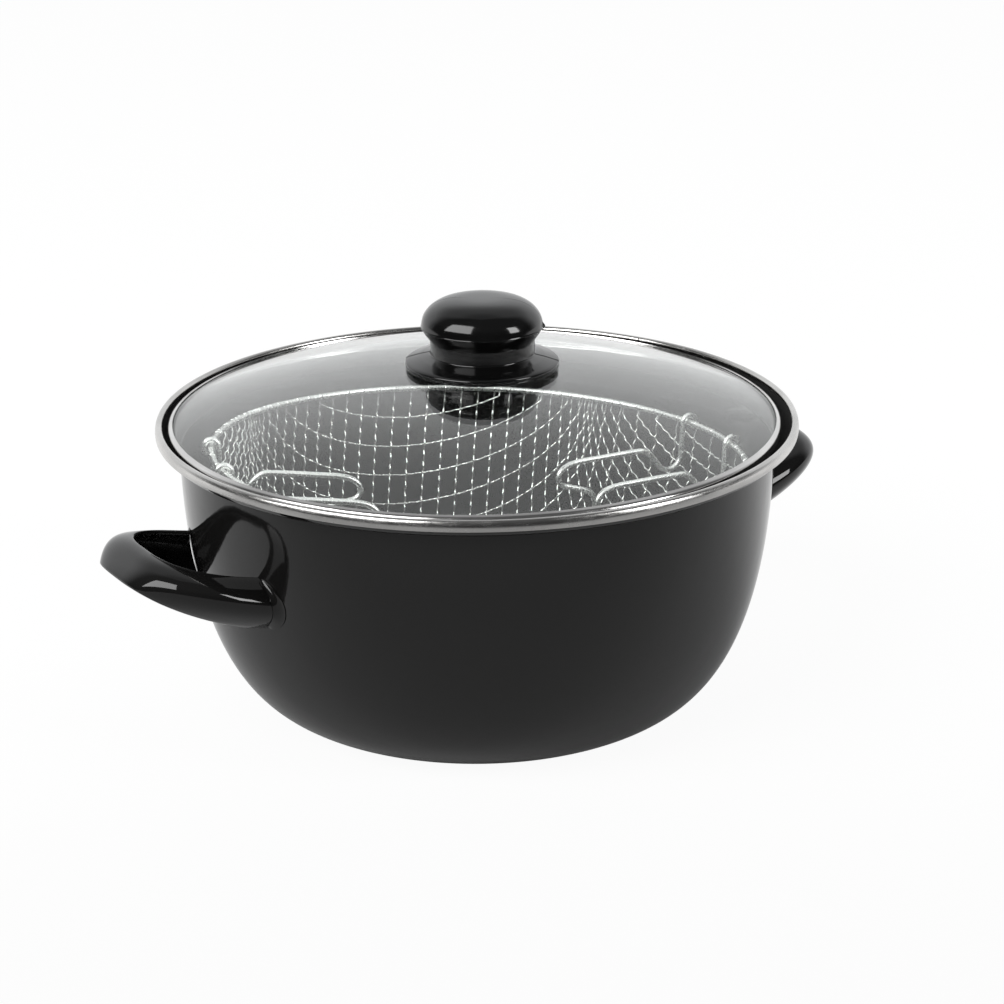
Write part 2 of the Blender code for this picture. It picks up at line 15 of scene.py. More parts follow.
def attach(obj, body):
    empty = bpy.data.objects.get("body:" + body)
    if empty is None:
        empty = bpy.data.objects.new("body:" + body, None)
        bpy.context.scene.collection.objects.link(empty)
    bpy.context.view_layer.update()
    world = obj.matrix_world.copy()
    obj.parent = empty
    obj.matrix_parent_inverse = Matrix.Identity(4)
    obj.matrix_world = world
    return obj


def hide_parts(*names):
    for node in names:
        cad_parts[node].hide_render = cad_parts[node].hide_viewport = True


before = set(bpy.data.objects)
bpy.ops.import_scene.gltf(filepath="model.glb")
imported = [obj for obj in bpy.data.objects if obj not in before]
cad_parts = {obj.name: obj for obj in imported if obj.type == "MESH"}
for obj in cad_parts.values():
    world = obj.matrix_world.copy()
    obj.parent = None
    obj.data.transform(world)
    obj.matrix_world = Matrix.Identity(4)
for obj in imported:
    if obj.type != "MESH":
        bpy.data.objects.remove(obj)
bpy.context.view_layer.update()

# Sizes in metres and angles in degrees, most of them shared with the part's source
FIT_GAP = 0.0003

# Pot and its trim
BODY_RADIUS = 0.130
FOOT_RADIUS = BODY_RADIUS * 0.5638
FOOT_HOLLOW = 0.0005
FOOT_EDGE = (FOOT_RADIUS * 0.80, FOOT_RADIUS * 0.83)
WALL_HEIGHT = 0.125
SHEET = 0.0013
RISE_POWER = 2.314
SPREAD_POWER = 2.534
NECK_HEIGHT = 0.119
NECK_ROOM = 0.002
GROOVE_LOW = NECK_HEIGHT - 0.004
RIM_RISE = 0.0097
LIP_RADIUS = 0.1393
LIP_HEIGHT = NECK_HEIGHT + RIM_RISE
RIM_SHARES = (
    (0.00, 0.00),
    (0.00, 0.14),
    (0.05, 0.24),
    (0.18, 0.29),
    (0.62, 0.29),
    (0.77, 0.36),
    (0.92, 0.55),
)
LIP_BEND = 0.0046
LIP_DROP = 0.0022
LIP_LOW = -16
LIP_LEAN = 25
LIP_EDGE = 0.0005
RIM_BEND = 0.0012
TRIM_SHEET = 0.00045
TRIM_LEG = 0.0012
TRIM_TURN = 24.3
TRIM_GAP = 0.0006

# Side handles
HALF_SPAN = 0.0324
STRAP = 0.0020
REACH_TOP = BODY_RADIUS + 0.0303
REACH_EDGE = BODY_RADIUS + 0.0431
ROOT_TOP = WALL_HEIGHT * 0.701
ROOT_BOTTOM = WALL_HEIGHT * 0.532
APEX_TOP = WALL_HEIGHT * 0.777
APEX_EDGE = WALL_HEIGHT * 0.7135
ROOT_CROWN = 0.0087
APEX_CROWN = 0.0023
BOW_POWERS = (2.78, 3.66)
RISE_POWERS = (1.13, 1.3)
WELD_LEG = 0.0030

# Lid
LID_AT = Vector((-0.0017, -0.0007, 0.123413))
LID_RADIUS = 0.1334
DOME_RADIUS = 0.400
GLASS = 0.0040
BAND_SHEET = 0.0005
BAND_WIDTH = 0.0022
BAND_BEND = 0.0004
BAND_CORNER = 0.0006

# Knob
KNOB_AT = LID_AT + Vector((0.0038, -0.0006, 0.0))
KNOB_RADIUS = 0.0265
KNOB_HEIGHT = 0.03055
HEAD_SHARES = (
    (0.000, 1.000),
    (0.180, 0.999),
    (0.350, 0.994),
    (0.480, 0.982),
    (0.590, 0.963),
    (0.690, 0.935),
    (0.780, 0.895),
    (0.855, 0.848),
    (0.915, 0.790),
    (0.957, 0.732),
    (0.983, 0.670),
    (1.000, 0.592),
)
NECK_SHARES = (
    (1.000, 0.592),
    (1.003, 0.588),
    (1.003, 0.580),
    (0.984, 0.550),
    (0.938, 0.486),
    (0.868, 0.408),
    (0.855, 0.395),
    (0.855, 0.183),
)
FLANGE_SHARES = (
    (0.810, 0.150),
    (0.968, 0.098),
    (1.000, 0.080),
    (1.000, 0.012),
    (0.985, 0.000),
)
NECK_BEND = 0.0007
FLANGE_RADIUS = 0.0335
FLANGE_WALL = 0.0025
RECESS = 0.0038
BOSS_RADIUS = 0.0080
SEAL = 0.0010
BORE_RADIUS = 0.0038
BORE_DEPTH = 0.0103
HOLE_RADIUS = 0.0032
PARTING_TURN = -37.6
PARTING_WIDTH = 0.00028
HEAD_RIDGE = 0.00007
FLANGE_RIDGE = 0.00022
NIB = 0.0009
NIB_TALL = 0.0012
NIB_SHARE = 0.60

# Basket and its net
RING_RADIUS = 0.117
RING_WIRE = 0.0028
BASKET_AT = Vector((0.0009, -0.0005, 0.109083))
BASKET_LEAN = (-0.89, 3.52)
BASKET_DEPTH = 0.1022
NET_LIFT = 0.0005
NET_TURN = -13.6
NET_TWIST = 2.8
NET_WIRE = 0.0011
NET_TUBE = NET_WIRE * 0.45
CRIMP = 0.0005
NET_FLAT = RING_RADIUS * 0.650
NET_CORNER = RING_RADIUS * 0.308
WALL_DROP = 0.018
BOWL_TOP = 0.06
NET_REACH = 0.245

# Heights from the ring's middle where the net and its wires end, and the length of the crimp's fading
NET_ABOVE = 0.02
WIRE_TOP = -0.0035
WIRE_TOP_AT_HOOK = -0.0075
CRIMP_FADE = 0.004

# Spacing of the wires, their shift from the middle in parts of it, and the half waves in each spacing
PITCH_X = 0.00841
PITCH_Y = 0.01428
STEP_X, STEP_Y = PITCH_X / 2, PITCH_Y / 2
OFF_X_SHARE = 0.334
OFF_Y_SHARE = 0.894
ROW_WAVES = 3
COLUMN_WAVES = 5

# Where a net's wire is bent over the ring
WRAP_RADIUS = RING_WIRE / 2 - NET_WIRE * 0.15

# Basket handles
HOOK_WIRE = 0.0026
HOOK_SPACING = 0.040
HOOK_PLAY = 0.0006
HOOK_RADIUS = RING_WIRE / 2 + HOOK_PLAY + HOOK_WIRE / 2
HOOK_ROOM = HOOK_WIRE / 2 + NET_WIRE / 2 + 0.0009
GRIP_REACH = 0.0663
GRIP_DROP = 0.0480
GRIP_ANGLES = (("right", -7.6), ("left", 162.4))
GRIP_SHARES = (
    (0.050, -0.290, 1.00),
    (0.072, -0.405, 1.00),
    (0.136, -0.458, 1.00),
    (0.200, -0.437, 1.00),
    (0.262, -0.340, 1.00),
    (0.335, -0.260, 1.00),
    (0.430, -0.254, 1.00),
    (0.700, -0.284, 1.00),
    (0.850, -0.303, 1.00),
    (0.938, -0.335, 1.00),
    (0.987, -0.390, 1.00),
    (1.000, -0.458, 1.00),
    (0.970, -0.520, 1.00),
    (0.900, -0.550, 1.00),
    (0.790, -0.592, 1.00),
    (0.733, -0.640, 1.00),
    (0.710, -0.730, 1.00),
    (0.709, -0.860, 0.96),
    (0.709, -0.960, 0.78),
    (0.709, -1.000, 0.48),
    (0.709, -1.000, 0.00),
)

# Fineness of the meshes
ROUND = 256
WALL_SWEEP = 84
WALL_STEPS = 60
STRIPS = 14
STATIONS = 120
EDGE_TURNS = (30, 60, 90, 120, 150)
WELD_STEPS = 28
CORNER_STEPS = 4
GLASS_ROWS = 40
BOWL_STEPS = 40
SETTLE_ROUNDS = 40
WIRE_SIDES = 14
NET_SIDES = 5
SAMPLE = 0.0011

# Edges of the small parts
SOFT_EDGE = 0.00015

# Floor
FLOOR_REACH = 6.0
FLOOR_DROP = 0.0002

# Camera, at the photograph's angle

VIEW_TURN = math.radians(-31.1)
VIEW_ROLL = math.radians(0.365)
FOCAL_LENGTH = 88.94


def from_camera(right, away, up):
    """A place given to the right of the pot as the camera sees it, away from the camera, and up."""
    cos, sin = math.cos(VIEW_TURN), math.sin(VIEW_TURN)
    return Vector((right * cos - away * sin, right * sin + away * cos, up))


eye = from_camera(0.0, -1.03463, 0.46063)
aim = from_camera(0.010628, 0.0, 0.086948)
forward = (aim - eye).normalized()
side = forward.cross(Vector((0, 0, 1))).normalized()
upward = side.cross(forward)
axis_x = side * math.cos(VIEW_ROLL) - upward * math.sin(VIEW_ROLL)
axis_y = side * math.sin(VIEW_ROLL) + upward * math.cos(VIEW_ROLL)
lens = bpy.data.cameras.new("photo_camera")
lens.sensor_width = 36.0
lens.lens = FOCAL_LENGTH
lens.clip_start = 0.01
camera = bpy.data.objects.new("photo_camera", lens)
bpy.context.scene.collection.objects.link(camera)
camera.matrix_world = Matrix(
    (
        (axis_x.x, axis_y.x, -forward.x, eye.x),
        (axis_x.y, axis_y.y, -forward.y, eye.y),
        (axis_x.z, axis_y.z, -forward.z, eye.z),
        (0, 0, 0, 1),
    )
)
bpy.context.scene.camera = camera
bpy.context.scene.view_settings.view_transform = "Standard"

# Node helpers


class Graph:
    """A material's or world's nodes, made and joined by short calls."""

    def __init__(self, owner):
        owner.use_nodes = True
        self.tree = owner.node_tree
        self.tree.nodes.clear()

    def add(self, kind, links=None, **settings):
        made = self.tree.nodes.new(kind)
        for name, value in settings.items():
            setattr(made, name, value)
        for name, value in (links or {}).items():
            socket = made.inputs[name]
            if isinstance(value, bpy.types.NodeSocket):
                self.tree.links.new(value, socket)
            else:
                socket.default_value = value
        return made

    def math(self, operation, first, second=0.0):
        return self.add("ShaderNodeMath", {0: first, 1: second}, operation=operation).outputs[0]

    def vector(self, operation, first, second, result="Vector"):
        links = {0: first, 1: second}
        return self.add("ShaderNodeVectorMath", links, operation=operation).outputs[result]

    def ramp(self, value, low, high, out_low=0.0, out_high=1.0):
        links = {
            "Value": value,
            "From Min": low,
            "From Max": high,
            "To Min": out_low,
            "To Max": out_high,
        }
        made = self.add("ShaderNodeMapRange", links, interpolation_type="SMOOTHSTEP")
        return made.outputs["Result"]

    def noise(self, vector, scale, detail=3.0, rough=0.5):
        links = {"Vector": vector, "Scale": scale, "Detail": detail, "Roughness": rough}
        return self.add("ShaderNodeTexNoise", links).outputs["Fac"]

    def place(self):
        return self.add("ShaderNodeTexCoord").outputs["Object"]

    def round_place(self, along, across):
        """Coordinates that follow circles about Z: way round, radius and height."""
        x, y, z = self.add("ShaderNodeSeparateXYZ", {0: self.place()}).outputs
        angle = self.math("ARCTAN2", y, x)
        square = self.math("ADD", self.math("MULTIPLY", x, x), self.math("MULTIPLY", y, y))
        radius = self.math("SQRT", square)
        return self.add(
            "ShaderNodeCombineXYZ",
            {
                0: self.math("MULTIPLY", angle, along),
                1: self.math("MULTIPLY", radius, across),
                2: self.math("MULTIPLY", z, across),
            },
        ).outputs[0]

    def bump(self, height, distance):
        links = {"Height": height, "Distance": distance, "Strength": 1.0}
        return self.add("ShaderNodeBump", links).outputs["Normal"]

    def mix(self, share, first, second):
        """A mix of two colours."""
        links = {0: share, 6: first, 7: second}
        return self.add("ShaderNodeMix", links, data_type="RGBA").outputs[2]

    def background_seen(self):
        """1 where the background is seen directly or through glass."""
        path = self.add("ShaderNodeLightPath")
        return self.math("MAXIMUM", path.outputs["Is Camera Ray"], path.outputs["Is Transmission Ray"])

    def mix_shader(self, share, first, second):
        links = {0: share, 1: first.outputs[0], 2: second.outputs[0]}
        return self.add("ShaderNodeMixShader", links)

    def surface(self, shader):
        self.add("ShaderNodeOutputMaterial", {"Surface": shader.outputs[0]})

    def principled(self, sockets):
        self.surface(self.add("ShaderNodeBsdfPrincipled", sockets))


def grey(value, warm=0.0):
    """A grey, or a slightly warm one."""
    return (value * (1 + warm), value, value * (1 - warm), 1.0)


def groove(g, place, low):
    """1 on faces above a height that look up or inwards: the groove beside the lid."""
    facing = g.add("ShaderNodeTexCoord").outputs["Normal"]
    flat = g.vector("MULTIPLY", place, (1.0, 1.0, 0.0))
    radius = g.vector("LENGTH", flat, (0.0, 0.0, 0.0), "Value")
    outward = g.math("DIVIDE", g.vector("DOT_PRODUCT", flat, facing, "Value"), radius)
    up = g.add("ShaderNodeSeparateXYZ", {0: facing}).outputs["Z"]
    height = g.add("ShaderNodeSeparateXYZ", {0: place}).outputs["Z"]
    inner = g.ramp(g.math("SUBTRACT", up, outward), 0.2, 0.5)
    return g.math("MULTIPLY", inner, g.ramp(height, low, low + 0.002))


def enamel(name, wave, rough, groove_low=None):
    """Black vitreous enamel: glassy, very slightly wavy, a little uneven in gloss."""
    made = bpy.data.materials.new(name)
    g = Graph(made)
    place = g.place()
    cloud = g.noise(place, 14.0, 4.0)
    ripple = g.noise(place, 95.0, 2.0, 0.4)
    peel = g.noise(place, 620.0, 1.0, 0.4)
    height = g.math("ADD", ripple, g.math("MULTIPLY", peel, 0.10))
    roughness = g.ramp(cloud, 0.3, 0.7, rough * 0.8, rough * 1.25)
    if groove_low is not None:
        dull = g.math("MULTIPLY", groove(g, place, groove_low), 0.9)
        roughness = g.math("ADD", roughness, dull)
    g.principled(
        {
            "Base Color": g.mix(cloud, grey(0.0065, 0.03), grey(0.0105, 0.02)),
            "Roughness": roughness,
            "IOR": 1.52,
            "Normal": g.bump(height, wave),
        }
    )
    return made


def polished(name, colour, rough, lined=True):
    """Bright metal with fine lines that run round the piece, or plain fine mottling."""
    made = bpy.data.materials.new(name)
    g = Graph(made)
    if lined:
        lines = g.noise(g.round_place(16.0, 900.0), 1.0, 4.0, 0.6)
    else:
        lines = g.noise(g.place(), 700.0, 3.0, 0.6)
    cloud = g.noise(g.place(), 30.0, 3.0)
    darker = tuple(channel * 0.86 for channel in colour[:3]) + (1.0,)
    g.principled(
        {
            "Base Color": g.mix(g.ramp(cloud, 0.35, 0.65), darker, colour),
            "Metallic": 1.0,
            "Roughness": g.ramp(lines, 0.3, 0.7, rough * 0.75, rough * 1.35),
            "Normal": g.bump(lines, 0.000004),
        }
    )
    return made


def plastic(name, value, rough, grain, depth):
    """Dark moulded plastic or rubber with a fine grain."""
    made = bpy.data.materials.new(name)
    g = Graph(made)
    place = g.place()
    cloud = g.noise(place, 60.0, 3.0)
    g.principled(
        {
            "Base Color": g.mix(cloud, grey(value * 0.8), grey(value * 1.2)),
            "Roughness": g.ramp(cloud, 0.3, 0.7, rough * 0.85, rough * 1.2),
            "IOR": 1.56,
            "Normal": g.bump(g.noise(place, grain, 3.0), depth),
        }
    )
    return made


def wire_skin(name, rough):
    """Tinned steel wire, slightly mottled."""
    made = bpy.data.materials.new(name)
    g = Graph(made)
    cloud = g.ramp(g.noise(g.place(), 160.0, 3.0), 0.3, 0.7)
    fine = g.noise(g.place(), 900.0, 2.0)
    g.principled(
        {
            "Base Color": g.mix(cloud, (0.84, 0.85, 0.84, 1.0), (0.97, 0.97, 0.95, 1.0)),
            "Metallic": 0.96,
            "Roughness": g.ramp(fine, 0.3, 0.7, rough * 0.8, rough * 1.4),
            "Normal": g.bump(fine, 0.0000012),
        }
    )
    return made


def clear_glass(name):
    """Toughened glass that lets lamp light straight through."""
    made = bpy.data.materials.new(name)
    g = Graph(made)
    film = g.noise(g.place(), 22.0, 4.0)
    wave = g.noise(g.place(), 16.0, 2.0)
    shader = g.add(
        "ShaderNodeBsdfPrincipled",
        {
            "Base Color": (0.955, 0.975, 0.965, 1.0),
            "Transmission Weight": 1.0,
            "IOR": 1.52,
            "Roughness": g.ramp(film, 0.35, 0.75, 0.0, 0.02),
            "Normal": g.bump(wave, 0.00004),
        },
    )
    clear = g.add("ShaderNodeBsdfTransparent", {"Color": (0.93, 0.95, 0.94, 1.0)})
    shadow = g.add("ShaderNodeLightPath").outputs["Is Shadow Ray"]
    g.surface(g.mix_shader(shadow, shader, clear))
    return made


# Mesh helpers


def piece(name, mesh_data, skin, body, replaced, sharp=None):
    """Adds one finished mesh, which rides on its body and stands for the solid that it replaces.

    Edges that turn by more than the sharp angle stay crisp.
    """
    points, faces = mesh_data
    mesh = bpy.data.meshes.new(name)
    mesh.from_pydata([tuple(point) for point in points], [], [tuple(face) for face in faces])
    mesh.update()
    cleaned = bmesh.new()
    cleaned.from_mesh(mesh)
    bmesh.ops.remove_doubles(cleaned, verts=cleaned.verts, dist=0.000001)
    bmesh.ops.recalc_face_normals(cleaned, faces=cleaned.faces)
    for face in cleaned.faces:
        face.smooth = True
    if sharp is not None:
        for edge in cleaned.edges:
            if len(edge.link_faces) == 2 and edge.calc_face_angle(0.0) > math.radians(sharp):
                edge.smooth = False
    cleaned.to_mesh(mesh)
    cleaned.free()
    made = bpy.data.objects.new(name, mesh)
    bpy.context.scene.collection.objects.link(made)
    mesh.materials.append(skin)
    bpy.context.view_layer.update()
    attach(made, body)
    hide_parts(replaced)


def lofted(rings, loop=False, round_section=True):
    """Points and faces of a skin over rings of points, which is a loop or has two flat ends."""
    rows, size = len(rings), len(rings[0])
    faces = []
    for row in range(rows if loop else rows - 1):
        near = row * size
        far = (row + 1) % rows * size
        for i in range(size if round_section else size - 1):
            j = (i + 1) % size
            faces.append((near + i, near + j, far + j, far + i))
    if not loop:
        faces.append(tuple(range(size)))
        faces.append(tuple(range((rows - 1) * size, rows * size)))
    return [point for ring in rings for point in ring], faces


def turned_line(line, angle, centre=(0.0, 0.0, 0.0)):
    """A line of (radius, height) set upright at an angle about a centre."""
    cos, sin = math.cos(angle), math.sin(angle)
    x, y, z = centre
    return [(x + radius * cos, y + radius * sin, z + height) for radius, height in line]


def spun(outline, centre, round_section=False):
    """An outline of (radius, height) turned about the upright through a centre."""
    rings = [turned_line(outline, 2 * math.pi * step / ROUND, centre) for step in range(ROUND)]
    return lofted(rings, loop=True, round_section=round_section)


def beside(line, distance):
    """The line of (radius, height) points moved sideways, to its left along its way."""
    moved = []
    for i, point in enumerate(line):
        here = Vector(point)
        before = here - Vector(line[i - 1]) if i else None
        after = Vector(line[i + 1]) - here if i + 1 < len(line) else None
        before = (before or after).normalized()
        after = (after or before).normalized()
        way = (before + after).normalized()
        reach = distance / max(way.dot(after), 0.5)
        moved.append((here.x - way.y * reach, here.y + way.x * reach))
    return moved


def rounded(line, reach):
    """The line with each corner between its ends turned into a small bend."""
    out = [line[0]]
    for before, here, after in zip(line, line[1:], line[2:]):
        a, b, c = Vector(before), Vector(here), Vector(after)
        back = min(reach, (a - b).length / 2.2)
        ahead = min(reach, (c - b).length / 2.2)
        start = b + (a - b).normalized() * back
        end = b + (c - b).normalized() * ahead
        for step in range(CORNER_STEPS + 1):
            t = step / CORNER_STEPS
            out.append(tuple(start * (1 - t) ** 2 + b * 2 * t * (1 - t) + end * t * t))
    return out + [line[-1]]


def cubic(start, end, slope_in, slope_out, t):
    """The place at a share t of the stretch between two ends with these slopes."""
    return (
        start * (2 * t**3 - 3 * t**2 + 1)
        + slope_in * (t**3 - 2 * t**2 + t)
        + end * (3 * t**2 - 2 * t**3)
        + slope_out * (t**3 - t**2)
    )


def smooth_line(knots, samples):
    """A rounded line through the knots, with this many stretches between each two."""
    line = []
    last = len(knots) - 1
    for i in range(last):
        start, end = knots[i], knots[i + 1]
        slope_in = (end - knots[max(i - 1, 0)]) / 2
        slope_out = (knots[min(i + 2, last)] - start) / 2
        for step in range(samples):
            line.append(cubic(start, end, slope_in, slope_out, step / samples))
    return line + [knots[last]]


def tube(line, radius, sides, closed=False, dome=True):
    """A round wire along a line of points, which is a loop or has rounded or flat ends."""
    line = np.asarray([tuple(point) for point in line], float)
    count = len(line)
    if closed:
        ways = np.roll(line, -1, 0) - np.roll(line, 1, 0)
    else:
        ways = np.gradient(line, axis=0)
    ways /= np.linalg.norm(ways, axis=1)[:, None]
    across = np.cross(ways[0], (0.0, 0.0, 1.0))
    if np.linalg.norm(across) < 0.1:
        across = np.cross(ways[0], (0.0, 1.0, 0.0))
    frames = []
    for way in ways:
        across = across - way * (across @ way)
        across = across / np.linalg.norm(across)
        frames.append((across, np.cross(way, across)))
    if closed:
        # The twist left over at the seam is shared out along the wire
        first = frames[0][0]
        last, up = frames[-1]
        twist = math.atan2(first @ up, first @ last)
        for i, (side, up) in enumerate(frames):
            turn = twist * i / count
            frames[i] = (
                side * math.cos(turn) + up * math.sin(turn),
                up * math.cos(turn) - side * math.sin(turn),
            )
    sections = [(point, both, radius) for point, both in zip(line, frames)]
    if dome and not closed:
        caps = []
        for angle in (22, 50, 80):
            out = math.sin(math.radians(angle)) * radius * 0.8
            caps.append((out, radius * math.cos(math.radians(angle))))
        sections += [(line[-1] + ways[-1] * out, frames[-1], size) for out, size in caps]
        sections = [(line[0] - ways[0] * out, frames[0], size) for out, size in caps[::-1]] + sections
    turns = np.arange(sides) * 2 * math.pi / sides
    rings = []
    for centre, (a, b), size in sections:
        rings.append(centre + size * (np.cos(turns)[:, None] * a + np.sin(turns)[:, None] * b))
    return lofted(rings, loop=closed)


def joined(parts):
    """Several meshes' points and faces as one."""
    points, faces, start = [], [], 0
    for some_points, some_faces in parts:
        points.extend(some_points)
        faces.extend(tuple(i + start for i in face) for face in some_faces)
        start += len(some_points)
    return points, faces


# Pot body


def wall_radius(height):
    """The pot's outer radius at a height below the neck."""
    rise = max(1 - height / WALL_HEIGHT, 0) ** RISE_POWER
    return FOOT_RADIUS + (BODY_RADIUS - FOOT_RADIUS) * (1 - rise) ** (1 / SPREAD_POWER)


outside = [
    (0.0, FOOT_HOLLOW),
    (FOOT_EDGE[0], FOOT_HOLLOW),
    (FOOT_EDGE[1], 0.0),
    (FOOT_RADIUS, 0.0),
]
for step in range(1, WALL_STEPS + 1):
    angle = math.radians(WALL_SWEEP * step / WALL_STEPS)
    rise = math.cos(angle) ** (2 / RISE_POWER)
    spread = math.sin(angle) ** (2 / SPREAD_POWER)
    height = WALL_HEIGHT * (1 - rise)
    if height < NECK_HEIGHT - NECK_ROOM:
        outside.append((FOOT_RADIUS + (BODY_RADIUS - FOOT_RADIUS) * spread, height))
neck_radius = wall_radius(NECK_HEIGHT)
rim = [
    (neck_radius + (LIP_RADIUS - neck_radius) * across, NECK_HEIGHT + RIM_RISE * up)
    for across, up in RIM_SHARES
]
bend_height = LIP_HEIGHT - LIP_DROP
bend_radius = LIP_RADIUS - LIP_BEND


def lip_bend(turn, out):
    """A point beside the lip's outward bend, out from its outer face."""
    angle = math.radians(turn)
    reach = LIP_BEND + out
    return (bend_radius + reach * math.cos(angle), bend_height + reach * math.sin(angle))


def past_bend(out, beyond):
    """A point past the bend's top, along the way that the lip leans."""
    lean = math.radians(LIP_LEAN)
    across, up = lip_bend(LIP_LEAN, out)
    return (across - beyond * math.sin(lean), up + beyond * math.cos(lean))


outside += rounded(rim + [lip_bend(LIP_LOW, 0.0)], RIM_BEND)
outside += [lip_bend(turn, 0.0) for turn in range(LIP_LOW + 4, LIP_LEAN, 4)]
outside += [lip_bend(LIP_LEAN, 0.0), past_bend(0.0, LIP_EDGE)]
inside = beside(outside, SHEET)
inside[0] = (0.0, inside[1][1])
piece(
    "pot_body_enamelled",
    spun(inside + outside[::-1], (0.0, 0.0, 0.0)),
    enamel("pot_enamel_skin", 0.00006, 0.07, GROOVE_LOW),
    "pot",
    "pot_body",
    sharp=50,
)

# Rim trim: a folded strip with its two ends meeting in a butt joint

trim_out = FIT_GAP + TRIM_SHEET / 2
fold = trim_out + SHEET / 2
trim_line = [lip_bend(turn, trim_out) for turn in range(LIP_LOW, LIP_LEAN, 3)]
fold_across, fold_up = past_bend(-SHEET / 2, 0.0)
for turn in range(LIP_LEAN, LIP_LEAN + 181, 10):
    angle = math.radians(turn)
    trim_line.append((fold_across + fold * math.cos(angle), fold_up + fold * math.sin(angle)))
trim_line.append(past_bend(-SHEET - trim_out, -TRIM_LEG))
trim_skin = beside(trim_line, TRIM_SHEET / 2) + beside(trim_line, -TRIM_SHEET / 2)[::-1]
half_gap = TRIM_GAP / 2 / LIP_RADIUS
joint = math.radians(TRIM_TURN)
trim_rings = []
for step in range(ROUND + 1):
    angle = joint + half_gap + (2 * math.pi - 2 * half_gap) * step / ROUND
    trim_rings.append(turned_line(trim_skin, angle))
piece(
    "rim_trim_strip",
    lofted(trim_rings),
    polished("trim_polish", (0.67, 0.66, 0.645, 1.0), 0.22),
    "pot",
    "rim_trim",
    sharp=40,
)

# Side handles: bowed enamelled straps with rounded edges, and their weld fillets


def strap_point(angle, across):
    """A place on the right strap's middle sheet: its bow in degrees, and its share down the strap."""
    along = math.sin(math.radians(angle))
    out = max(math.cos(math.radians(angle)), 0.0)
    power = BOW_POWERS[0] + (BOW_POWERS[1] - BOW_POWERS[0]) * across
    sideways = math.copysign(abs(along) ** (2 / power), along)
    share = out ** (2 / power)
    top = ROOT_TOP + (APEX_TOP - ROOT_TOP) * share ** RISE_POWERS[0]
    edge = ROOT_BOTTOM + (APEX_EDGE - ROOT_BOTTOM) * share ** RISE_POWERS[1]
    height = top + (edge - top) * across
    bulge = 4 * across * (1 - across)
    half_width = HALF_SPAN + ROOT_CROWN * bulge
    root = math.sqrt(wall_radius(height) ** 2 - half_width**2)
    reach = REACH_TOP + (REACH_EDGE - REACH_TOP) * across
    x = root + (reach - root) * share
    return Vector((x, half_width * sideways, height + APEX_CROWN * bulge * share))


def on_wall(point):
    """The point moved out or in along X to just clear of the pot's wall."""
    clear = wall_radius(point.z) + FIT_GAP
    return Vector((math.sqrt(clear**2 - point.y**2), point.y, point.z))


def strap_ring(angle):
    """The strap's cross-section, with rounded edges: top edge, outer face, low edge, inner face."""
    outer, inner = [], []
    for strip in range(STRIPS + 1):
        across = strip / STRIPS
        here = strap_point(angle, across)
        along = strap_point(min(angle + 1, 90), across) - strap_point(max(angle - 1, -90), across)
        down = strap_point(angle, min(across + 0.05, 1)) - strap_point(angle, max(across - 0.05, 0))
        face = down.cross(along).normalized() * STRAP / 2
        outer.append(here + face)
        inner.append(here - face)
        if strip == 0:
            up, top_face, top = -down.normalized() * STRAP / 2, face, here
        if strip == STRIPS:
            low, low_face, bottom = down.normalized() * STRAP / 2, face, here
    top_edge, low_edge = [], []
    for turn in EDGE_TURNS:
        cos, sin = math.cos(math.radians(turn)), math.sin(math.radians(turn))
        top_edge.append(top - top_face * cos + up * sin)
        low_edge.append(bottom + low_face * cos + low * sin)
    return top_edge + outer + low_edge + inner[::-1]


strap_rings = []
for station in range(STATIONS + 1):
    share = 2 * station / STATIONS - 1
    angle = 90 * math.copysign(abs(share) ** 0.85, share)
    ring = strap_ring(angle)
    if abs(angle) > 89.9:
        ring = [on_wall(point) for point in ring]
    strap_rings.append(ring)


def on_strap(ring, place):
    """Points of the outer and the inner face at a place counted in strips down a ring."""
    low = min(int(place), STRIPS - 1)
    outer = ring[len(EDGE_TURNS) : len(EDGE_TURNS) + 1 + STRIPS]
    inner = ring[: -STRIPS - 2 : -1]
    return [face[low].lerp(face[low + 1], place - low) for face in (outer, inner)]


def weld_rings(sign):
    """Cross-sections of the weld's fillet down one root of the strap."""
    root, beyond = strap_rings[:2] if sign < 0 else strap_rings[:-3:-1]
    rings = []
    for step in range(WELD_STEPS + 1):
        place = STRIPS * (0.04 + 0.92 * step / WELD_STEPS)
        outer, inner = on_strap(root, place)
        away = Vector((0.0, outer.y - inner.y, outer.z - inner.z)).normalized()
        along = (on_strap(beyond, place)[0] - outer).normalized()
        corner = on_wall(outer + away * FIT_GAP)
        leg = WELD_LEG * (0.25 + 0.75 * math.sin(math.pi * step / WELD_STEPS) ** 0.4)
        ring = [corner]
        for turn in range(0, 91, 10):
            out = leg * (1 - math.sin(math.radians(turn)))
            round_wall = leg * (1 - math.cos(math.radians(turn)))
            ring.append(on_wall(corner + away * round_wall) + along * out)
        rings.append(ring)
    return rings


def half_turned(rings, sign):
    """The right handle's rings, or with sign -1 the left one's."""
    return [[Vector((p.x * sign, p.y * sign, p.z)) for p in ring] for ring in rings]


for sign, word in ((1, "right"), (-1, "left")):
    piece(
        f"handle_{word}_strap",
        lofted(half_turned(strap_rings, sign)),
        enamel(f"handle_{word}_skin", 0.00003, 0.045),
        "pot",
        f"handle_{word}",
        sharp=60,
    )
    for end_sign in (-1, 1):
        end = "front" if end_sign * sign < 0 else "back"
        piece(
            f"handle_{word}_fillet_{end}",
            lofted(half_turned(weld_rings(end_sign), sign)),
            enamel(f"fillet_{word}_{end}_skin", 0.00003, 0.05),
            "pot",
            f"handle_{word}_weld_{end}",
            sharp=50,
        )

# Lid glass and its band

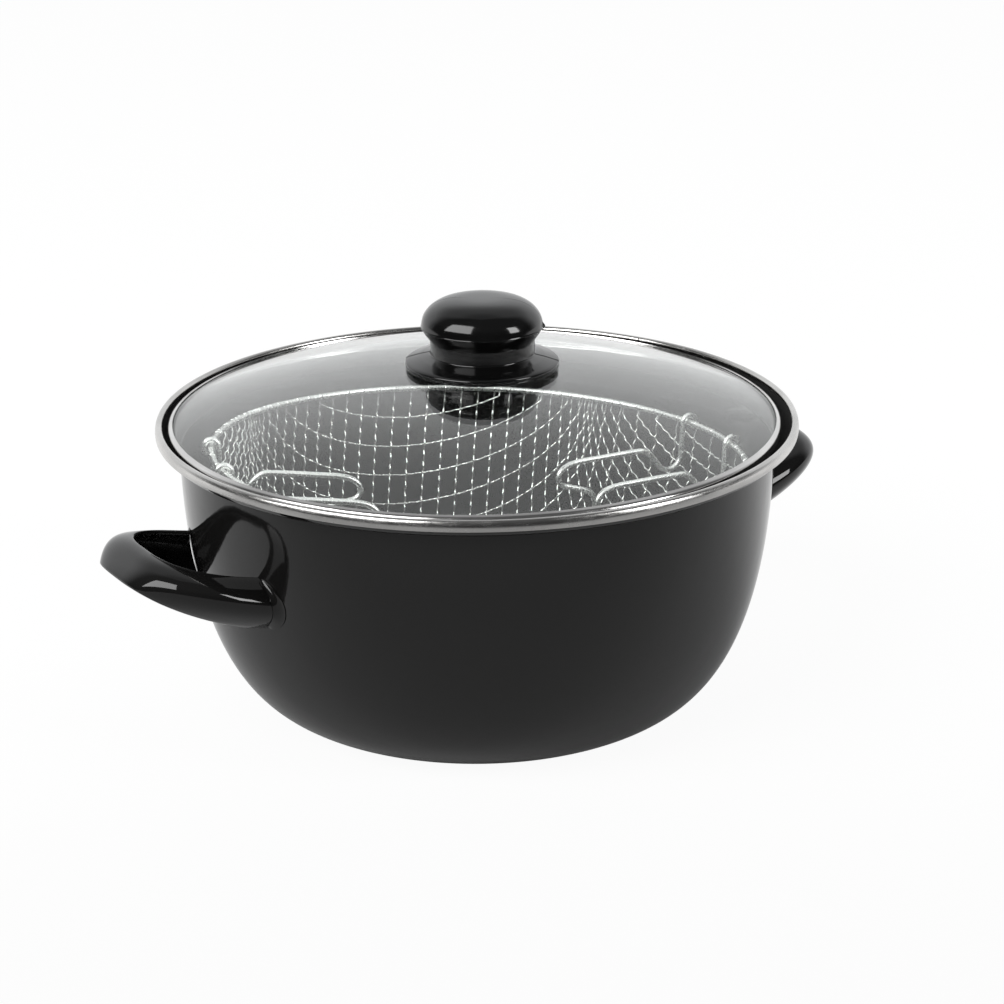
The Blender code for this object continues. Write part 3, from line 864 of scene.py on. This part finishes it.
glass_radius = LID_RADIUS - BAND_SHEET - FIT_GAP
under_radius = DOME_RADIUS - GLASS
dome_centre = BAND_SHEET + FIT_GAP - math.sqrt(under_radius**2 - glass_radius**2)


def glass_top(radius):
    """The height of the dome's upper face, from the lid's own origin."""
    return dome_centre + math.sqrt(DOME_RADIUS**2 - radius**2)


def glass_under(radius):
    """The height of the dome's lower face, from the lid's own origin."""
    return dome_centre + math.sqrt(under_radius**2 - radius**2)


knob_off = KNOB_AT - LID_AT
glass_rings = []
for turn in range(ROUND):
    angle = 2 * math.pi * turn / ROUND
    way = Vector((math.cos(angle), math.sin(angle)))
    hole = Vector((knob_off.x, knob_off.y)) + way * HOLE_RADIUS
    spots = [hole.lerp(way * glass_radius, row / GLASS_ROWS) for row in range(GLASS_ROWS + 1)]
    ring = [LID_AT + Vector((spot.x, spot.y, glass_top(spot.length))) for spot in spots]
    ring += [LID_AT + Vector((spot.x, spot.y, glass_under(spot.length))) for spot in spots[::-1]]
    glass_rings.append(ring)
piece(
    "lid_glass_dome",
    lofted(glass_rings, loop=True),
    clear_glass("lid_glass_skin"),
    "lid",
    "lid_glass",
    sharp=40,
)

band_inner = LID_RADIUS - BAND_WIDTH
band_bend = LID_RADIUS - BAND_SHEET
band_line = [
    (band_inner, glass_under(band_inner) - FIT_GAP - BAND_SHEET / 2),
    (band_bend - BAND_BEND, glass_under(band_bend) - FIT_GAP - BAND_SHEET / 2),
    (LID_RADIUS - BAND_SHEET / 2, BAND_SHEET + BAND_BEND),
    (LID_RADIUS - BAND_SHEET / 2, glass_top(LID_RADIUS) - BAND_BEND / 2),
    (band_bend - BAND_BEND, glass_top(band_bend) + FIT_GAP + BAND_SHEET / 2),
    (band_inner, glass_top(band_inner) + FIT_GAP + BAND_SHEET / 2),
]
band_line = rounded(band_line, BAND_CORNER)
band_skin = beside(band_line, BAND_SHEET / 2) + beside(band_line, -BAND_SHEET / 2)[::-1]
piece(
    "lid_band_folded",
    spun(band_skin, LID_AT, round_section=True),
    polished("band_polish", (0.80, 0.79, 0.78, 1.0), 0.16),
    "lid",
    "lid_band",
    sharp=50,
)

# Knob

recess_radius = FLANGE_RADIUS - FLANGE_WALL
boss_height = glass_top(0.0) + SEAL + 2 * FIT_GAP
knob_base = glass_top(recess_radius - knob_off.length) + FIT_GAP


def on_knob(shares, radius):
    """Points of the knob's outline from shares of a radius and of the knob's height."""
    return [Vector((radius * r, knob_base + KNOB_HEIGHT * z)) for r, z in shares]


knob_line = [tuple(point) for point in smooth_line(on_knob(HEAD_SHARES, KNOB_RADIUS), 4)]
below_head = on_knob(NECK_SHARES, KNOB_RADIUS) + on_knob(FLANGE_SHARES, FLANGE_RADIUS)
knob_line += rounded([tuple(point) for point in below_head], NECK_BEND)[1:]
seen_rows = len(knob_line)
knob_line += [
    (recess_radius, knob_base),
    (recess_radius, knob_base + RECESS * 0.32),
    (recess_radius * 0.76, knob_base + RECESS * 0.80),
    (recess_radius * 0.62, knob_base + RECESS),
    (BOSS_RADIUS, knob_base + RECESS),
    (BOSS_RADIUS, boss_height),
    (BORE_RADIUS, boss_height),
    (BORE_RADIUS, boss_height + BORE_DEPTH),
    (0.0, boss_height + BORE_DEPTH),
]

# The mould's parting line runs over the knob in two opposite halves, with finer steps beside it
parting = [math.radians(PARTING_TURN), math.radians(PARTING_TURN + 180)]
knob_angles = {2 * math.pi * step / ROUND for step in range(ROUND)}
for angle in parting:
    for off in (-0.030, -0.018, -0.012, -0.006, 0.0, 0.006, 0.012, 0.018, 0.030):
        knob_angles.add((angle + off) % (2 * math.pi))


def between(angle, other):
    """The angle from one to the other, the short way round."""
    return abs((angle - other + math.pi) % (2 * math.pi) - math.pi)


def parting_ridge(angle, row):
    """The knob's outline at a row, lifted by the mould's parting line and the nib of flash on it."""
    radius, height = knob_line[row]
    if row >= seen_rows or radius < 0.001:
        return radius, height
    off = min(between(angle, line) for line in parting)
    on_head = height > knob_base + KNOB_HEIGHT * 0.45
    lift = HEAD_RIDGE if on_head else FLANGE_RIDGE
    lift *= math.exp(-((off * radius / PARTING_WIDTH) ** 2))
    # The ridge fades out towards the crown's middle
    lift *= min(max((radius - 0.004) / 0.006, 0.0), 1.0)
    nib = between(angle, parting[0]) * radius / NIB
    nib_height = (height - knob_base - KNOB_HEIGHT * NIB_SHARE) / NIB_TALL
    lift += NIB * math.exp(-(nib**2) - nib_height**2)
    before = Vector(knob_line[max(row - 1, 0)])
    after = Vector(knob_line[min(row + 1, len(knob_line) - 1)])
    way = (after - before).normalized()
    outward = Vector((-way.y, way.x))
    return min(radius + outward.x * lift, FLANGE_RADIUS), height + outward.y * lift


knob_rings = []
for angle in sorted(knob_angles):
    line = [parting_ridge(angle, row) for row in range(len(knob_line))]
    knob_rings.append(turned_line(line, angle, KNOB_AT))
piece(
    "lid_knob_moulded",
    lofted(knob_rings, loop=True, round_section=False),
    plastic("knob_skin", 0.0035, 0.10, 420.0, 0.000010),
    "lid",
    "lid_knob",
    sharp=45,
)

# Basket: ring, net of crimped wires, two folded wire handles

lean = Euler((math.radians(BASKET_LEAN[0]), math.radians(BASKET_LEAN[1]), 0.0))
basket = Matrix.Translation(BASKET_AT) @ lean.to_matrix().to_4x4()
netting = basket @ Matrix.Rotation(math.radians(NET_TURN), 4, "Z")


def moved(matrix, points):
    """The points, turned and shifted by a matrix."""
    turn = np.array(matrix.to_3x3())
    return np.asarray([tuple(p) for p in points], float) @ turn.T + np.array(matrix.translation)


ring_line = []
for step in range(ROUND):
    ring_line += turned_line([(RING_RADIUS, 0.0)], 2 * math.pi * step / ROUND)
piece(
    "basket_ring_wire",
    tube(moved(basket, ring_line), RING_WIRE / 2, WIRE_SIDES, closed=True),
    wire_skin("ring_skin", 0.26),
    "basket",
    "basket_ring",
)

# The bowl that the net is pressed into, as a line of (radius, height) from its middle
net_depth = BASKET_DEPTH - NET_LIFT
net_radius = RING_RADIUS - FIT_GAP
flare = math.atan2(net_radius - NET_FLAT - NET_CORNER, net_depth - NET_CORNER - WALL_DROP)
bowl = [(0.0, -net_depth), (NET_FLAT, -net_depth)]
for step in range(1, BOWL_STEPS + 1):
    angle = math.radians(-90) + (math.radians(90) - flare) * step / BOWL_STEPS
    across = NET_FLAT + NET_CORNER * math.cos(angle)
    bowl.append((across, NET_CORNER - net_depth + NET_CORNER * math.sin(angle)))
bowl += [(net_radius, -WALL_DROP), (net_radius, BOWL_TOP)]
bowl = np.array(bowl)
starts, runs = bowl[:-1], np.diff(bowl, axis=0)
lengths = np.linalg.norm(runs, axis=1)
reached = np.concatenate([[0.0], np.cumsum(lengths)])


def along_bowl(distance):
    """The bowl's radius and height at a distance along it from its middle."""
    return np.array([np.interp(distance, reached, column) for column in bowl.T])


def onto_bowl(points):
    """The nearest points of the bowl, and how far along it they lie."""
    radius = np.hypot(points[:, 0], points[:, 1])
    here = np.stack([radius, points[:, 2]], 1)[:, None]
    share = np.clip(((here - starts) * runs).sum(-1) / lengths**2, 0, 1)
    near = starts + runs * share[..., None]
    best = ((near - here) ** 2).sum(-1).argmin(1)
    rows = np.arange(len(points))
    spot = near[rows, best]
    scale = spot[:, 0] / np.maximum(radius, 1e-9)
    found = np.stack([points[:, 0] * scale, points[:, 1] * scale, spot[:, 1]], 1)
    return found, reached[best] + share[rows, best] * lengths[best]


def bowl_out(points, distances):
    """Unit normals of the bowl, pointing out."""
    reach = 0.0015
    ahead = np.stack([along_bowl(d + reach) for d in distances])
    behind = np.stack([along_bowl(max(d - reach, 0.0)) for d in distances])
    way = ahead - behind
    way /= np.linalg.norm(way, axis=1)[:, None]
    x, y = points[:, 0], points[:, 1]
    radius = np.maximum(np.hypot(x, y), 1e-9)
    return np.stack([way[:, 1] * x / radius, way[:, 1] * y / radius, -way[:, 0]], 1)


# One quarter of a net of stiff wires pressed into the bowl, at half the wire spacing. Each knot
# lies one step from the two before it, so that cells keep their sides and only lean over.
reach_x, reach_y = int(NET_REACH / STEP_X), int(NET_REACH / STEP_Y)
knot = np.full((reach_x + 1, reach_y + 1, 3), np.nan)
for i in range(reach_x + 1):
    radius, height = along_bowl(STEP_X * i)
    knot[i, 0] = (radius, 0.0, height)
for j in range(reach_y + 1):
    radius, height = along_bowl(STEP_Y * j)
    knot[0, j] = (0.0, radius, height)
for diagonal in range(2, reach_x + reach_y + 1):
    i = np.arange(max(1, diagonal - reach_y), min(diagonal - 1, reach_x) + 1)
    j = diagonal - i
    if not len(i):
        continue
    before, beneath, corner = knot[i - 1, j], knot[i, j - 1], knot[i - 1, j - 1]
    known = ~np.isnan(before).any(1) & ~np.isnan(beneath).any(1) & ~np.isnan(corner).any(1)
    known &= (before[:, 2] < NET_ABOVE) & (beneath[:, 2] < NET_ABOVE)
    i, j, before, beneath, corner = i[known], j[known], before[known], beneath[known], corner[known]
    if not len(i):
        continue
    spot = before + beneath - corner
    for _ in range(SETTLE_ROUNDS):
        pull_x, pull_y = spot - before, spot - beneath
        move_x = pull_x * (STEP_X / np.linalg.norm(pull_x, axis=1)[:, None] - 1)
        move_y = pull_y * (STEP_Y / np.linalg.norm(pull_y, axis=1)[:, None] - 1)
        spot = onto_bowl(spot + (move_x + move_y) / 2)[0]
    knot[i, j] = spot


def net_place(i, j):
    """A place anywhere in the net, from the quarter that was worked out."""
    across, along = abs(i), abs(j)
    low_i, low_j = int(across), int(along)
    if low_i >= reach_x or low_j >= reach_y:
        return None
    across, along = across - low_i, along - low_j
    near = knot[low_i, low_j] * (1 - across) + knot[low_i + 1, low_j] * across
    far = knot[low_i, low_j + 1] * (1 - across) + knot[low_i + 1, low_j + 1] * across
    found = near * (1 - along) + far * along
    if np.isnan(found).any():
        return None
    return (math.copysign(1, i) * found[0], math.copysign(1, j) * found[1], found[2])


def twisted(line):
    """The net's lean round the bowl, which grows with its depth."""
    turn = np.radians(NET_TWIST) * np.clip(-line[:, 2] / BASKET_DEPTH, 0, 1)
    cos, sin = np.cos(turn), np.sin(turn)
    x, y, z = line.T
    return np.stack([x * cos - y * sin, x * sin + y * cos, z], 1)


hook_turns = []
half_turn = math.asin(HOOK_SPACING / 2 / RING_RADIUS)
for _, grip_angle in GRIP_ANGLES:
    middle = math.radians(grip_angle - NET_TURN)
    hook_turns += [middle - half_turn, middle + half_turn]


def near_hook(point):
    """Whether a point at the ring, in the net's own frame, is too near a hook for a wire's end."""
    turn = math.atan2(point[1], point[0])
    return min(between(turn, hook_turn) for hook_turn in hook_turns) * RING_RADIUS < HOOK_ROOM


def over_ring(line, end):
    """The wire with one end, 0 or -1, bent over the ring, or cut shorter where a hook is near."""
    spot = line[end]
    if near_hook(spot):
        while len(line) > 3 and line[end][2] > WIRE_TOP_AT_HOOK:
            line = line[1:] if end == 0 else line[:-1]
        return line
    angle = math.atan2(spot[1], spot[0])
    way = line[-1] - line[-3] if end else line[0] - line[2]
    drift = (way[1] * spot[0] - way[0] * spot[1]) / np.linalg.norm(way) / RING_RADIUS**2
    # The wire keeps half its slant while it bends over
    drift = np.clip(drift, -3, 3) * 0.5
    wrap, run, apart = [], 0.0, 20
    for turn in range(170, -11, -apart):
        across = WRAP_RADIUS * math.cos(math.radians(turn))
        up = WRAP_RADIUS * math.sin(math.radians(turn))
        run += WRAP_RADIUS * math.radians(apart)
        wrap += turned_line([(RING_RADIUS - across, up)], angle + drift * run)
    return np.concatenate([line, wrap] if end else [wrap[::-1], line])


def net_wire(found, off, waves, sign):
    """One crimped wire through the places found at each half spacing, bent over the ring."""
    known = [i for i, place in enumerate(found) if place is not None]
    if len(known) < 5:
        return []
    knots = np.array([found[i] for i in known])
    places = (np.array(known) - len(found) // 2) / 2 - off
    # A rounded line through the knots, then onto the bowl
    stretch = np.concatenate([[0.0], np.cumsum(np.linalg.norm(np.diff(knots, axis=0), axis=1))])
    where = np.linspace(0, stretch[-1], int(stretch[-1] / SAMPLE))
    slopes = np.gradient(knots, stretch, axis=0)
    index = np.clip(np.searchsorted(stretch, where) - 1, 0, len(stretch) - 2)
    span = (stretch[index + 1] - stretch[index])[:, None]
    t = (where - stretch[index])[:, None] / span
    line = cubic(knots[index], knots[index + 1], slopes[index] * span, slopes[index + 1] * span, t)
    line, distance = onto_bowl(line)
    # The wave is about 1 high, with flat crests where wires cross, and dies out below the ring
    phase = math.pi * waves * np.interp(where, stretch, places)
    wave = 1.12 * (np.cos(phase) - np.cos(3 * phase) / 9)
    fade = np.clip((WIRE_TOP - line[:, 2]) / CRIMP_FADE, 0, 1)
    line = line + bowl_out(line, distance) * (sign * CRIMP * wave * fade)[:, None]
    below = np.nonzero(line[:, 2] < WIRE_TOP)[0]
    if len(below) < 3:
        return []
    line = line[below[0] : below[-1] + 1]
    for end in (0, -1):
        if abs(line[end][2]) <= NET_ABOVE:
            line = over_ring(line, end)
    return [twisted(line)]


wires = []
for row in range(-(reach_y // 2), reach_y // 2 + 1):
    found = [net_place(i, 2 * (row + OFF_Y_SHARE)) for i in range(-reach_x, reach_x + 1)]
    wires += net_wire(found, OFF_X_SHARE, ROW_WAVES, -1 if row % 2 else 1)
for column in range(-(reach_x // 2), reach_x // 2 + 1):
    found = [net_place(2 * (column + OFF_X_SHARE), j) for j in range(-reach_y, reach_y + 1)]
    wires += net_wire(found, OFF_Y_SHARE, COLUMN_WAVES, 1 if column % 2 else -1)
piece(
    "basket_net_wires",
    joined([tube(moved(netting, line), NET_TUBE, NET_SIDES, dome=False) for line in wires]),
    wire_skin("net_skin", 0.17),
    "basket",
    "basket_net",
)


def grip_line():
    """A basket handle's wire from hook to hook, with its hinge along Y and its grip towards X."""
    half = HOOK_SPACING / 2
    hook = []
    for turn in range(225, -1, -15):
        cos, sin = math.cos(math.radians(turn)), math.sin(math.radians(turn))
        hook.append(Vector((HOOK_RADIUS * cos, half, HOOK_RADIUS * sin)))
    bends = [Vector((GRIP_REACH * u, half * b, GRIP_DROP * w)) for u, w, b in GRIP_SHARES]
    line = hook[:-1] + smooth_line([hook[-1]] + bends, 8)
    return line + [Vector((point.x, -point.y, point.z)) for point in line[-2::-1]]


hinge_radius = math.sqrt(RING_RADIUS**2 - (HOOK_SPACING / 2) ** 2)
for word, grip_angle in GRIP_ANGLES:
    angle = math.radians(grip_angle)
    hinge = (
        basket
        @ Matrix.Translation((hinge_radius * math.cos(angle), hinge_radius * math.sin(angle), 0.0))
        @ Matrix.Rotation(angle + math.pi, 4, "Z")
    )
    piece(
        f"basket_handle_{word}_wire",
        tube(moved(hinge, grip_line()), HOOK_WIRE / 2, WIRE_SIDES),
        wire_skin(f"grip_{word}_skin", 0.26),
        f"{word}_grip",
        f"basket_handle_{word}",
    )

# Small parts under the knob keep the shapes of their solids


def dress(name, skin):
    """Gives a solid's own mesh a finish and softened edges."""
    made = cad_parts[name]
    made.data.materials.clear()
    made.data.materials.append(skin)
    bevel = made.modifiers.new("Soft edges", "BEVEL")
    bevel.width = SOFT_EDGE
    bevel.segments = 2
    bevel.limit_method = "ANGLE"
    bevel.angle_limit = math.radians(40)


dress("knob_insert", polished("insert_skin", (0.72, 0.52, 0.24, 1.0), 0.25, lined=False))
dress("knob_screw", polished("screw_skin", (0.62, 0.62, 0.60, 1.0), 0.2, lined=False))
dress("knob_washer", polished("washer_skin", (0.66, 0.66, 0.64, 1.0), 0.22, lined=False))
dress("knob_seal_upper", plastic("seal_upper_skin", 0.02, 0.6, 900.0, 0.00003))
dress("knob_seal_lower", plastic("seal_lower_skin", 0.02, 0.6, 900.0, 0.00003))

# Floor, surroundings and lamps

to_camera = from_camera(0.0, -1.0, 0.0)
floor_mesh = bpy.data.meshes.new("floor")
corners = [(FLOOR_REACH * x, FLOOR_REACH * y, 0) for x, y in ((-1, -1), (1, -1), (1, 1), (-1, 1))]
floor_mesh.from_pydata(corners, [], [(0, 1, 2, 3)])
floor = bpy.data.objects.new("floor", floor_mesh)
bpy.context.scene.collection.objects.link(floor)
floor.location.z = -FLOOR_DROP
floor_skin = bpy.data.materials.new("floor_skin")
g = Graph(floor_skin)
# Painted shade: the floor's matt colour darkens towards the camera, to nearly black far in front, so
# the pot reflects a dark room on that side
toward = g.vector("DOT_PRODUCT", g.place(), to_camera, "Value")
painted_shade_near = g.mix(g.ramp(toward, -0.10, 0.30), grey(0.86), grey(0.46))
painted_shade_tone = g.mix(g.ramp(toward, 0.40, 1.20), painted_shade_near, grey(0.05))
matt = g.add("ShaderNodeBsdfDiffuse", {"Color": painted_shade_tone})
glow = g.add("ShaderNodeEmission", {"Color": (1.0, 1.0, 1.0, 1.0), "Strength": 1.045})
pale = g.mix_shader(0.90, matt, glow)
mirrored = g.add("ShaderNodeLightPath").outputs["Is Glossy Ray"]
farther = g.ramp(toward, -0.22, 0.02, 0.85, 0.0)
seen = g.math("MAXIMUM", g.background_seen(), g.math("MULTIPLY", mirrored, farther))
g.surface(g.mix_shader(seen, matt, pale))
floor_mesh.materials.append(floor_skin)

world = bpy.data.worlds.new("studio")
bpy.context.scene.world = world
g = Graph(world)
way = g.add("ShaderNodeTexCoord").outputs["Generated"]
toward = g.vector("DOT_PRODUCT", way, to_camera, "Value")
high = g.add("ShaderNodeSeparateXYZ", {0: way}).outputs["Z"]
level = g.math("SQRT", g.math("SUBTRACT", 1.0, g.math("MULTIPLY", high, high)))
behind = g.ramp(g.math("DIVIDE", toward, level), -0.68, -0.15, 1.0, 0.0)
glare = g.math("MULTIPLY", g.ramp(high, 0.38, 0.78, 1.0, 0.38), g.ramp(high, 0.88, 0.99, 1.0, 0.5))
dim = g.ramp(high, 0.10, 0.75, 0.05, 0.11)
light = g.math("ADD", dim, g.math("MULTIPLY", behind, glare))
room = g.mix(light, (0.0, 0.0, 0.0, 1.0), (0.92, 0.93, 0.94, 1.0))
colour = g.mix(g.background_seen(), room, (1.0, 1.0, 1.0, 1.0))
back = g.add("ShaderNodeBackground", {"Color": colour, "Strength": 1.0})
g.add("ShaderNodeOutputWorld", {"Surface": back.outputs[0]})


def window(name, turn, distance, left, right, low, high, power):
    """An upright lamp. Its sides are in parts of its distance, seen from the pot along its turn."""
    angle = math.radians(turn)
    ahead = from_camera(math.sin(angle), -math.cos(angle), 0.0)
    across = from_camera(math.cos(angle), math.sin(angle), 0.0)
    data = bpy.data.lights.new(name, "AREA")
    data.shape = "RECTANGLE"
    data.size = (right - left) * distance
    data.size_y = (high - low) * distance
    data.energy = power
    made = bpy.data.objects.new(name, data)
    bpy.context.scene.collection.objects.link(made)
    made.location = ahead * distance + across * (left + right) / 2 * distance
    made.location.z = (low + high) / 2 * distance + LID_AT.z
    made.rotation_euler = (-ahead).to_track_quat("-Z", "Y").to_euler()


window("window_left", -31.0, 2.0, left=-1.02, right=0.16, low=0.38, high=1.46, power=80.0)
window("window_right", 28.0, 2.0, left=0.50, right=1.04, low=0.25, high=0.90, power=34.0)
